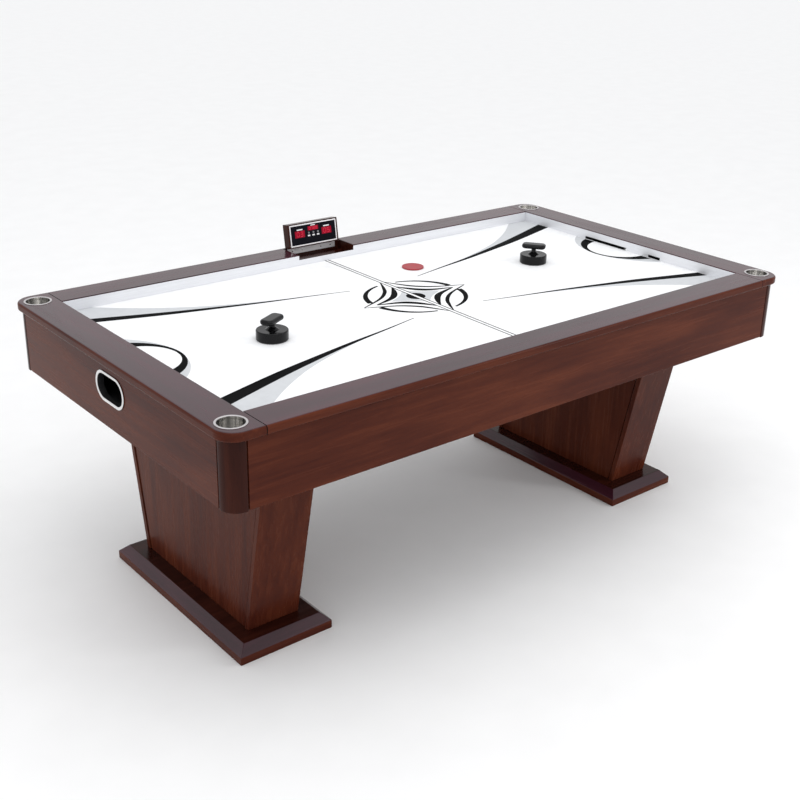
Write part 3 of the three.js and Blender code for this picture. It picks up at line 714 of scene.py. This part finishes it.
def print_shapes():
    """The playfield's print in millimetres, as (finish, outline), the uppermost first."""
    def swell(most, least):
        return lambda t: least + (most - least) * math.sin(math.pi * t)

    outer_curve = smooth_line([(205, 0), (112, 41), (60, 83), (32, 125), (8, 172)], 7)
    inner_curve = smooth_line([(155, 0), (88, 21), (53, 44), (27, 77), (8, 110)], 7)
    turns = np.radians(np.linspace(9, 77, 20))
    ring = np.stack((162 * np.cos(turns), 154 * np.sin(turns)), 1)
    star = smooth_line([(100, 0), (43, 30), (0, 68)], 7)
    sweep = smooth_line([(962, 384.5), (729, 307), (575, 263), (421, 223), (268, 190), (140, 160)], 8)
    shade = smooth_line([(885, 498), (768, 402), (652, 328), (550, 280), (430, 236), (300, 198)], 6)
    under = smooth_line([(300, 196), (421, 222), (575, 262), (729, 306), (962, 384)], 6)
    shade = np.concatenate((shade, under, [(962, 540), (905, 540)]))
    band, line = BAND / MM, LINE / MM
    shapes = [("white", np.array([(-band, -520), (band, -520), (band, 520), (-band, 520)]))]
    for side in (-1, 1):
        edges = [(side * band, -520), (side * (band + line), -520), (side * (band + line), 520),
                 (side * band, 520)]
        shapes.append(("line", np.array(edges)))
    shift = np.array((0, PRINT_Y))
    shapes.append(("black", np.array(circle(31, 32)) + shift))
    for sx in (-1, 1):
        goal_black = np.concatenate((arc(-1001, 165, 1.28, 26), arc(-958, 112, 1.53, 26)[::-1]))
        goal_grey = np.concatenate((arc(-1076, 238, 1.03, 26), arc(-1001, 165, 1.28, 26)[::-1]))
        flip = np.array((-sx, 1))
        shapes += [("black", goal_black * flip + shift), ("grey", goal_grey * flip + shift)]
        for sy in (-1, 1):
            corner = np.array((sx, sy))
            wall_width = 46 if sx * sy > 0 else 34
            blade = stroke(sweep, lambda t: 3.8 + wall_width * (1 - t) ** 1.6)
            shapes += [("black", blade * corner + shift), ("grey", shade * corner + shift)]
            shapes += [(finish, outline * corner + shift) for finish, outline in (
                ("black", stroke(ring, lambda t: 20 - 12 * t)),
                ("black", stroke(outer_curve, swell(13, 3.5))),
                ("black", stroke(inner_curve, swell(21, 5))),
                ("grey", np.concatenate((star, [(0, 0)]))),
            )]
    return shapes


def covers(outline, points):
    """Which of the points lie inside the outline."""
    inside = np.zeros(len(points), bool)
    x, y = points[:, 0], points[:, 1]
    for (x0, y0), (x1, y1) in zip(outline, np.roll(outline, -1, 0)):
        if y0 != y1:
            inside ^= ((y0 > y) != (y1 > y)) & (x < (x1 - x0) * (y - y0) / (y1 - y0) + x0)
    return inside


def playfield():
    """One board whose top is divided along the print's edges and pierced by the air holes."""
    low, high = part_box("playfield")
    shapes = print_shapes()
    points = [(low.x, low.y), (high.x, low.y), (high.x, high.y), (low.x, high.y)]
    loops = [list(range(4))]

    def add_loop(outline):
        loops.append(list(range(len(points), len(points) + len(outline))))
        points.extend((float(u), float(v)) for u, v in outline)

    for _, outline in shapes:
        add_loop(outline * MM)
    columns = int(high.x / HOLE_PITCH)
    rows = int(HOLES_Y / HOLE_PITCH)
    xs = (np.arange(-columns, columns) + 0.5) * HOLE_PITCH
    ys = (np.arange(-rows, rows) + 0.5) * HOLE_PITCH
    holes = [(x, y) for x in xs for y in ys]
    for x, y in holes:
        add_loop(circle(HOLE_R, HOLE_SIDES, (x, y)))
    edges = [(a, b) for loop in loops for a, b in zip(loop, loop[1:] + loop[:1])]
    flat, _, faces, *_ = delaunay_2d_cdt([Vector(p) for p in points], edges, [], 1, 1e-7)
    flat = np.array([tuple(p) for p in flat])
    faces = np.array([tuple(f) for f in faces])
    middle = flat[faces].mean(1)
    keep = (np.abs(middle[:, 0]) < high.x) & (np.abs(middle[:, 1]) < high.y)
    if holes:
        nearest = (np.floor(middle / HOLE_PITCH) + 0.5) * HOLE_PITCH
        on_grid = (np.abs(nearest[:, 0]) <= xs[-1] + MM) & (np.abs(nearest[:, 1]) <= ys[-1] + MM)
        keep &= ~((np.linalg.norm(middle - nearest, axis=1) < HOLE_R) & on_grid)
    faces, middle = faces[keep], middle[keep]
    finishes = {"white": 0, "black": 1, "grey": 2, "line": 3}
    index = np.zeros(len(faces), int)
    for finish, outline in reversed(shapes):
        index[covers(outline * MM, middle)] = finishes[finish]

    used, faces = np.unique(faces, return_inverse=True)
    faces = faces.reshape(-1, 3)
    flat = flat[used]
    count = len(flat)
    tops = np.column_stack((flat, np.full(count, high.z)))
    bottoms = np.column_stack((flat, np.full(count, low.z)))
    sides = {}  # each open edge of the top, with the face it belongs to
    for k, (a, b, c) in enumerate(faces.tolist()):
        for edge in ((a, b), (b, c), (c, a)):
            if sides.pop(edge[::-1], None) is None:
                sides[edge] = k
    walls = sorted(sides)
    polygons = [*faces.tolist(), *(faces[:, ::-1] + count).tolist(),
                *([b, a, a + count, b + count] for a, b in walls)]
    index = np.concatenate((index, np.zeros(len(faces), int), [index[sides[edge]] for edge in walls]))
    mesh = bpy.data.meshes.new("working")
    mesh.from_pydata([*tops.tolist(), *bottoms.tolist()], [], polygons)
    bm = bmesh.new()
    bm.from_mesh(mesh)
    bpy.data.meshes.remove(mesh)
    bmesh.ops.recalc_face_normals(bm, faces=bm.faces)
    bm.faces.ensure_lookup_table()
    piece("playfield_fine", bm, "table", [WHITE_LAMINATE, BLACK_PRINT, GREY_PRINT, LINE_PRINT],
          "playfield", lambda face: int(index[face.index]), weighted=False)


def rebound_walls():
    low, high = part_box("rebound_wall_right")
    for end, sign in ENDS:
        wall = block(low, high)
        slots = [block((low.x - 0.1, y0, SLOT_SILL), (high.x + 0.1, y1, SLOT_TOP)) for y0, y1 in SLOT_PARTS]
        wall = ease(carve(wall, slots), 0.45 * MM, 3)
        piece(f"rebound_wall_{end}_fine", at_end(wall, sign), "table", ALUMINIUM_Y,
              f"rebound_wall_{end}")
    low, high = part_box("rebound_wall_rear")
    for side, sign in SIDES:
        wall = block(low, high)
        if sign > 0:
            notch = block((-WALL_NOTCH, low.y - 0.1, WALL_NOTCH_Z), (WALL_NOTCH, high.y + 0.1, 1))
            wall = carve(wall, [notch])
        piece(f"rebound_wall_{side}_fine", at_end(ease(wall, 0.45 * MM, 3), sign), "table", ALUMINIUM_X,
              f"rebound_wall_{side}")


def goals():
    ring_low, ring_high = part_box("port_ring_right")
    face_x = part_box("end_apron_right")[1].x
    for end, sign in ENDS:
        refined(f"goal_box_{end}", 0.5 * MM, MOULDED)
        inner = PORT_RING + 2 * MM
        front = ring_high.x - face_x
        profile = rounded([
            (inner, 0.3 * MM, 0.2 * MM), (inner, front - 0.8 * MM, 0.6 * MM), (inner * 0.7, front, 1.2 * MM),
            (inner * 0.3, front, 1.2 * MM), (0, front - 1.2 * MM, 0.8 * MM), (0, -SLEEVE, 0.5 * MM),
            (1.7 * MM, -SLEEVE, 0.5 * MM), (1.7 * MM, 0.3 * MM, 0.2 * MM),
        ], 4)
        path = port_outline(ring_low, ring_high, inner)
        ring = hoop(path, profile, face_x, X)
        piece(f"port_ring_{end}_fine", at_end(ring, sign), "table", [CHROME, MOULDED],
              f"port_ring_{end}",
              lambda face: int(abs(face.calc_center_median().x) < face_x + front - 1.4 * MM),
              weighted=False)


# ---- air system

def air_system():
    refined("air_chamber", EDGE, DARK[X])
    for end, _ in ENDS:
        refined(f"cross_beam_{end}", EDGE, DARK[Y])
    refined("blower_housing", 0.6 * MM, MOULDED, angle=45)
    refined("blower_motor", 0.5 * MM, REFLECTION_BANDED_STEEL, angle=45)
    refined("blower_impeller", 0.25 * MM, IMPELLER_GREY, angle=45, body="blower_rotor")


def power():
    low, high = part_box("power_panel")
    pin_low, pin_high = low + Vector((52, 0, 3)) * MM, high - Vector((9, 0, 20)) * MM

    def is_pin(face):
        """1, the second material, for the faces of the inlet's pins."""
        x, y, z = face.calc_center_median()
        inside = pin_low.x < x < pin_high.x and low.y + 10 * MM < y < low.y + 18 * MM
        return int(inside and z < low.z + 15 * MM)

    refined("power_panel", 0.3 * MM, [MOULDED, REFLECTION_BANDED_STEEL], choose=is_pin)
    refined("power_rocker", 0.6 * MM, SWITCH_RED, 3, body="switch_rocker")


# ---- pedestals

def plinth_wood(face):
    """Which of the plinth's woods: by grain, and then by side, bevel or top; the bevel's darker purple copy
    and the top's espresso are painted shade and reflection on one and the same wood.
    """
    grain = int(abs(face.normal.x) > abs(face.normal.y))
    return grain + 2 * ((face.normal.z > 0.3) + (face.normal.z > 0.9))


def pedestals():
    # The sides keep the mahogany; the bevel's purple copy and the top's espresso are painted shade and
    # reflection.
    plinth_woods_and_painted_shades = [WOOD[X], WOOD[Y], SHADED_TOP_WOOD[X], SHADED_TOP_WOOD[Y], DARK[X], DARK[Y]]
    for end, _ in ENDS:
        for part in ("side_front", "side_rear"):
            refined(f"pedestal_{end}_{part}", 1.6 * MM, WOOD[Z], 3)
        for part in ("outer_panel", "inner_panel"):
            node = f"pedestal_{end}_{part}"
            low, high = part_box(node)
            narrower = Matrix.Scale(1 - 2 * PANEL_JOINT / (high.y - low.y), 4, (0, 1, 0))
            panel = ease(moved(cad_copy(node), narrower), EDGE, 2)
            piece(f"{node}_fine", panel, "table", WOOD[Z], node)
        refined(f"pedestal_{end}_plinth", 1.6 * MM, plinth_woods_and_painted_shades, 3, choose=plinth_wood)


# ---- scorer

HINGE = Vector(next(j for j in frame["joints"] if j["name"] == "scorer_fold")["pos_m"])
CASE_X = [corner.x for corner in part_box("scorer_case")]
FRONT = -28.5 * MM
REAR = 1.5 * MM
CASE_Z = (2.3 * MM, 84.5 * MM)
MID_Z = sum(CASE_Z) / 2
LEANED = Matrix.Translation(HINGE) @ Matrix.Rotation(-LEAN, 4, "X")
FACED = LEANED @ Matrix.Translation((sum(CASE_X) / 2, 0, MID_Z))


def segments(digit, width, height, bar):
    """The lit bars of a seven-segment digit about its own middle, as (width, height, centre)."""
    lit_bars = {"0": "abcdef", "2": "abged", "3": "abgcd", "5": "afgcd", "7": "abc"}[digit]
    u, v, gap = width / 2, height / 2, bar * 0.25
    places = {
        "a": (width - bar - gap, bar, (0, v)), "g": (width - bar - gap, bar, (0, 0)),
        "d": (width - bar - gap, bar, (0, -v)),
        "b": (bar, v - bar - gap, (u, v / 2)), "c": (bar, v - bar - gap, (u, -v / 2)),
        "f": (bar, v - bar - gap, (-u, v / 2)), "e": (bar, v - bar - gap, (-u, -v / 2)),
    }
    return [places[name] for name in lit_bars]


def digits(text, middle, width, height, pitch, level):
    """Raised segments of a row of digits on a display's face."""
    bars = []
    start = -(len(text) - 1) / 2 * pitch
    for i, digit in enumerate(text):
        for w, h, (u, v) in segments(digit, width, height, BAR):
            centre = (middle[0] + start + i * pitch + u, middle[1] + v)
            bars.append(prism(rectangle(w, h, centre, 0.3 * MM, 2), level - 0.15 * MM, level, Y))
    return together(*bars)


def scorer_head():
    w, h = CASE_X[1] - CASE_X[0], CASE_Z[1] - CASE_Z[0]
    case = prism(rectangle(w, h), FRONT, REAR, Y)
    case = carve(case, [prism(rectangle(*CAVITY), FRONT - 1, FRONT + CAVITY_DEPTH, Y)])
    case = ease(case, 1.0 * MM, 3)
    piece("scorer_case_fine", moved(case, FACED), "scorer", DARK[X], "scorer_case")

    profile = rounded([(0, 0, 0.3 * MM), (BEZEL_WIDTH, 0, 0.6 * MM), (BEZEL_WIDTH, BEZEL_DEPTH),
                       (0, BEZEL_DEPTH)], 4)
    bezel = hoop(rectangle(*FACE), profile, FRONT - 0.6 * MM, Y)
    piece("scorer_bezel_fine", moved(bezel, FACED), "scorer", BEZEL_METAL, "scorer_bezel")

    face = FRONT + 0.4 * MM
    lens = prism(rectangle(FACE[0] - 0.6 * MM, FACE[1] - 0.6 * MM), face, face + 2.5 * MM, Y)
    places = ((-SCORE_X, SCORE_Z, SCORE_WINDOW), (SCORE_X, SCORE_Z, SCORE_WINDOW),
              (0, TIMER_Z, TIMER_WINDOW))
    windows = [rectangle(wide * MM, high * MM, (u, v), 1 * MM) for u, v, (wide, high) in places]
    windows += [circle(KEY_R + GAP, 40, (i * KEY_PITCH, KEY_Z)) for i in (-1, 0, 1)]
    lens = carve(lens, [prism(outline, FRONT - 0.1, 0.1, Y) for outline in windows])
    piece("scorer_lens_fine", moved(ease(lens, 0.25 * MM, 2, 60), FACED), "scorer", GLOSS_BLACK,
          "scorer_lens")

    low = FRONT + 0.6 * MM
    for (u, v, (wide, high)), name, text, size in zip(
            places, ("left", "right", "timer"), ("03", "05", "0720"),
            ((9, 15, 15), (9, 15, 15), (5.2, 8.4, 9))):  # a digit's width, height and pitch in mm
        outline = rectangle((wide - 0.6) * MM, (high - 0.6) * MM, (u, v), 0.8 * MM)
        plate = prism(outline, low, low + 4 * MM, Y)
        piece(f"scorer_window_{name}", moved(ease(plate, 0.3 * MM, 2, 60), FACED), "scorer", GLOWING_WINDOW_RED,
              f"scorer_display_{name}")
        width, height, pitch = (s * MM for s in size)
        figures = digits(text, (u, v), width, height, pitch, low)
        piece(f"scorer_digits_{name}", moved(figures, FACED), "scorer", SEGMENT_RED,
              weighted=False)

    bars = [(24, 4, side * SCORE_X / MM, 18.7) for side in (-1, 1)]
    bars.append((18, 3, 0, 28.4))
    bars += [(10, 5, i * KEY_PITCH / MM, -5.8) for i in (-1, 0, 1)]
    labels = [prism(rectangle(a * MM, b * MM, (u * MM, v * MM), 0.8 * MM, 3), face - 0.15 * MM, face, Y)
              for a, b, u, v in bars]
    piece("scorer_labels", moved(together(*labels), FACED), "scorer", PRINT_WHITE,
          weighted=False)

    for i, name in enumerate(("start", "mode", "volume")):
        tip, back = face - 1.2 * MM, FRONT + 7 * MM
        shape = rounded([(0, tip + 0.25 * MM), (2.4 * MM, tip, 0.8 * MM), (KEY_R, tip, 0.5 * MM),
                         (KEY_R, back, 0.3 * MM), (0, back)], 4, closed=False)
        forward = Matrix.Rotation(math.pi / 2, 4, "X") @ Matrix.Scale(-1, 4, (0, 0, 1))
        key = moved(lathe(shape, steps=40), forward)
        bmesh.ops.recalc_face_normals(key, faces=key.faces)
        moved(key, FACED @ Matrix.Translation(((i - 1) * KEY_PITCH, 0, KEY_Z)))
        piece(f"scorer_key_{name}", key, f"{name}_button", KEY_GREY,
              f"scorer_button_{name}", weighted=False)


def hinge_leaf(start, leaf, arm):
    """A leaf with every other knuckle of the barrel about the X axis, from the given start; an arm,
    from one (y, z) to another, ties each knuckle to the leaf."""
    pitch = 2 * LEAF_HALF / KNUCKLES
    play = 0.2 * MM
    plate = ease(block(*leaf), 0.2 * MM, 2)
    knuckles, clearance = [], []
    for i in range(KNUCKLES):
        x0, x1 = -LEAF_HALF + i * pitch, -LEAF_HALF + (i + 1) * pitch
        if i % 2 == start:
            barrel = prism(circle(KNUCKLE_R, 28), x0 + play, x1 - play, X)
            knuckles.append(ease(barrel, 0.25 * MM, 2, 60))
            (y0, z0), (y1, z1) = arm
            knuckles.append(block((x0 + play, y0, z0), (x1 - play, y1, z1)))
        else:
            clearance.append(prism(circle(KNUCKLE_R + GAP, 28), x0 - play, x1 + play, X))
    return join(carve(plate, clearance), *knuckles)


def screw_head(radius, proud):
    """A countersunk head with a cross recess, facing +Z."""
    head = lathe(rounded([(0, 0), (radius, 0, 0.1 * MM), (radius * 0.8, proud, 0.3 * MM), (0, proud)], 4,
                         closed=False), steps=32)
    arms = [block((-a, -b, proud * 0.35), (a, b, 1)) for a, b in
            ((radius * 0.55, radius * 0.11), (radius * 0.11, radius * 0.55))]
    return carve(head, arms)


def scorer_hinge():
    near, far, back = LEAF_NEAR, LEAF_FAR, LEAF_NEAR + LEAF_T
    arm, reach = 0.9 * MM, 3 * MM
    fixed = hinge_leaf(0, ((-LEAF_HALF, near, -far), (LEAF_HALF, back, -near)), ((arm, -reach), (back, 0)))
    fixed = join(fixed, prism(circle(PIN_R, 24), -LEAF_HALF, LEAF_HALF, X))
    piece("scorer_hinge_fixed_fine", moved(fixed, Matrix.Translation(HINGE)), "table", HINGE_METAL,
          "scorer_hinge_fixed")
    moving = hinge_leaf(1, ((-LEAF_HALF, -far, near), (LEAF_HALF, -near, back)), ((-reach, arm), (0, back)))
    moving = carve(moving, [prism(circle(PIN_R + 0.2 * MM, 24), -1, 1, X)])
    piece("scorer_hinge_moving_fine", moved(moving, LEANED), "scorer", HINGE_METAL,
          "scorer_hinge_moving")
    for i, x in enumerate((-80, -40, 40, 80)):
        head = moved(screw_head(2.6 * MM, 0.45 * MM), Matrix.Rotation(math.pi / 2, 4, "X"))
        place = Matrix.Translation(HINGE + Vector((x * MM, near, -12 * MM)))
        piece(f"hinge_screw_{i + 1}", moved(head, place), "table", REFLECTION_BANDED_STEEL)


# ---- puck and strikers

def puck():
    low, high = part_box("puck")
    centre = middle_of("puck")
    r = (high.x - low.x) / 2
    dish, inner = 0.35 * MM, r - 7 * MM
    shape = rounded([
        (0, low.z + dish), (inner, low.z + dish, 0.6 * MM), (inner + MM, low.z, 0.6 * MM),
        (r, low.z, 1 * MM), (r, high.z, 1 * MM), (inner + MM, high.z, 0.6 * MM),
        (inner, high.z - dish, 0.6 * MM), (0, high.z - dish),
    ], 4, closed=False)
    piece("puck_fine", lathe(shape, (centre.x, centre.y), 96), "loose_puck", PUCK_RED, "puck",
          weighted=False)


def grip(height):
    """An oval paddle with full round edges, its top at the given height."""
    length, width, thick = GRIP
    round_z = thick / 2 - 0.6 * MM
    layers = []
    for k in range(15):
        angle = -math.pi / 2 + math.pi * k / 14
        inset = round_z * (1 - math.cos(angle)) * 1.1
        z = height - thick / 2 + math.copysign(thick / 2 - round_z, angle) + round_z * math.sin(angle)
        radius = GRIP_CORNER - inset
        layers.append((rectangle(length - 2 * inset, width - 2 * inset, (0, 0), radius, 14), z))
    bm = bmesh.new()
    rings = [[bm.verts.new((u, v, z)) for u, v in outline] for outline, z in layers]
    bm.faces.new(rings[0][::-1])
    bm.faces.new(rings[-1])
    for a, b in zip(rings, rings[1:]):
        for i in range(len(a)):
            j = (i + 1) % len(a)
            bm.faces.new((a[i], a[j], b[j], b[i]))
    bmesh.ops.recalc_face_normals(bm, faces=bm.faces)
    return bm


def strikers():
    for side, turn in STRIKERS.items():
        low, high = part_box(f"mallet_{side}")
        felt_low, felt_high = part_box(f"mallet_felt_{side}")
        centre = middle_of(f"mallet_felt_{side}")
        top = low.z + BASE_TOP
        neck_top = high.z - GRIP[2]
        shape = rounded([
            (0, low.z), (BASE_R, low.z, 1.2 * MM), (BASE_R, top, 3.4 * MM),
            (FLARE + 6 * MM, top - 0.6 * MM, 4 * MM),
            (NECK, top + 8 * MM, 7 * MM), (NECK, neck_top - 2 * MM, 3 * MM),
            (FLARE, neck_top + 3 * MM), (0, neck_top + 3 * MM),
        ], 6, closed=False)
        body = join(lathe(shape, steps=96), moved(grip(high.z), Matrix.Rotation(math.radians(turn), 4, "Z")))
        moved(body, Matrix.Translation((centre.x, centre.y, 0)))
        piece(f"striker_{side}_fine", body, f"striker_{side}", STRIKER_BLACK,
              f"mallet_{side}", sharp=50)
        pad_r = (felt_high.x - felt_low.x) / 2
        pad = rounded([(0, felt_low.z), (pad_r, felt_low.z, 0.7 * MM), (pad_r, felt_high.z, 0.5 * MM),
                       (0, felt_high.z)], 4, closed=False)
        piece(f"striker_felt_{side}", lathe(pad, (centre.x, centre.y), 72), f"striker_{side}", FELT,
              f"mallet_felt_{side}", weighted=False)


# ---- studio

def camera():
    """The view from the near left, above the rail."""
    ahead = Vector((math.sin(YAW) * math.cos(PITCH), math.cos(YAW) * math.cos(PITCH), math.sin(PITCH)))
    level = Vector((math.cos(YAW), -math.sin(YAW), 0))
    up = level.cross(ahead)
    right = math.cos(ROLL) * level + math.sin(ROLL) * up
    up = -math.sin(ROLL) * level + math.cos(ROLL) * up
    data = bpy.data.cameras.new("camera")
    data.sensor_width = 36
    data.lens = LENS
    data.shift_x, data.shift_y = SHIFT
    data.clip_end = 100
    obj = bpy.data.objects.new("camera", data)
    turn = Matrix((right, up, -ahead)).transposed().to_4x4()
    obj.matrix_world = Matrix.Translation(EYE) @ turn
    bpy.context.scene.collection.objects.link(obj)
    bpy.context.scene.camera = obj


def area_light(name, place, target, size, power):
    data = bpy.data.lights.new(name, "AREA")
    data.shape = "RECTANGLE"
    data.size, data.size_y = size
    data.energy = power
    obj = bpy.data.objects.new(name, data)
    obj.location = place
    obj.rotation_euler = (Vector(target) - Vector(place)).to_track_quat("-Z", "Y").to_euler()
    bpy.context.scene.collection.objects.link(obj)


def studio():
    """A pale floor, a pale surround and large soft lights."""
    floor = prism(circle(60, 128), -0.05, 0)
    mesh = bpy.data.meshes.new("studio_floor")
    floor.to_mesh(mesh)
    floor.free()
    look = Look("studio_paper", (0.93, 0.93, 0.93), 0.9)
    look.colour(look.ramp(look.noise(6.0, 2), ((0.3, 0.92), (0.7, 0.94))))
    mesh.materials.append(look.material)
    obj = bpy.data.objects.new("studio_floor", mesh)
    bpy.context.scene.collection.objects.link(obj)
    world = bpy.data.worlds.new("surround")
    bpy.context.scene.world = world
    world.use_nodes = True
    world.node_tree.nodes["Background"].inputs[0].default_value = (0.985, 0.99, 1, 1)
    world.node_tree.nodes["Background"].inputs[1].default_value = 1.0
    area_light("key", (-0.6, -0.8, 3.8), (0.1, 0, 0.6), (3.2, 2.2), 34)
    area_light("strip", (2.2, -2.6, 2.2), (0, 0, 0.8), (0.35, 1.8), 16)
    bpy.context.scene.view_settings.view_transform = "Standard"


camera()
studio()
rails()
corner_posts()
aprons()
cup_holders()
playfield()
rebound_walls()
goals()
air_system()
power()
pedestals()
refined("scorer_well", 0.5 * MM, DARK[X])
scorer_head()
scorer_hinge()
puck()
strikers()
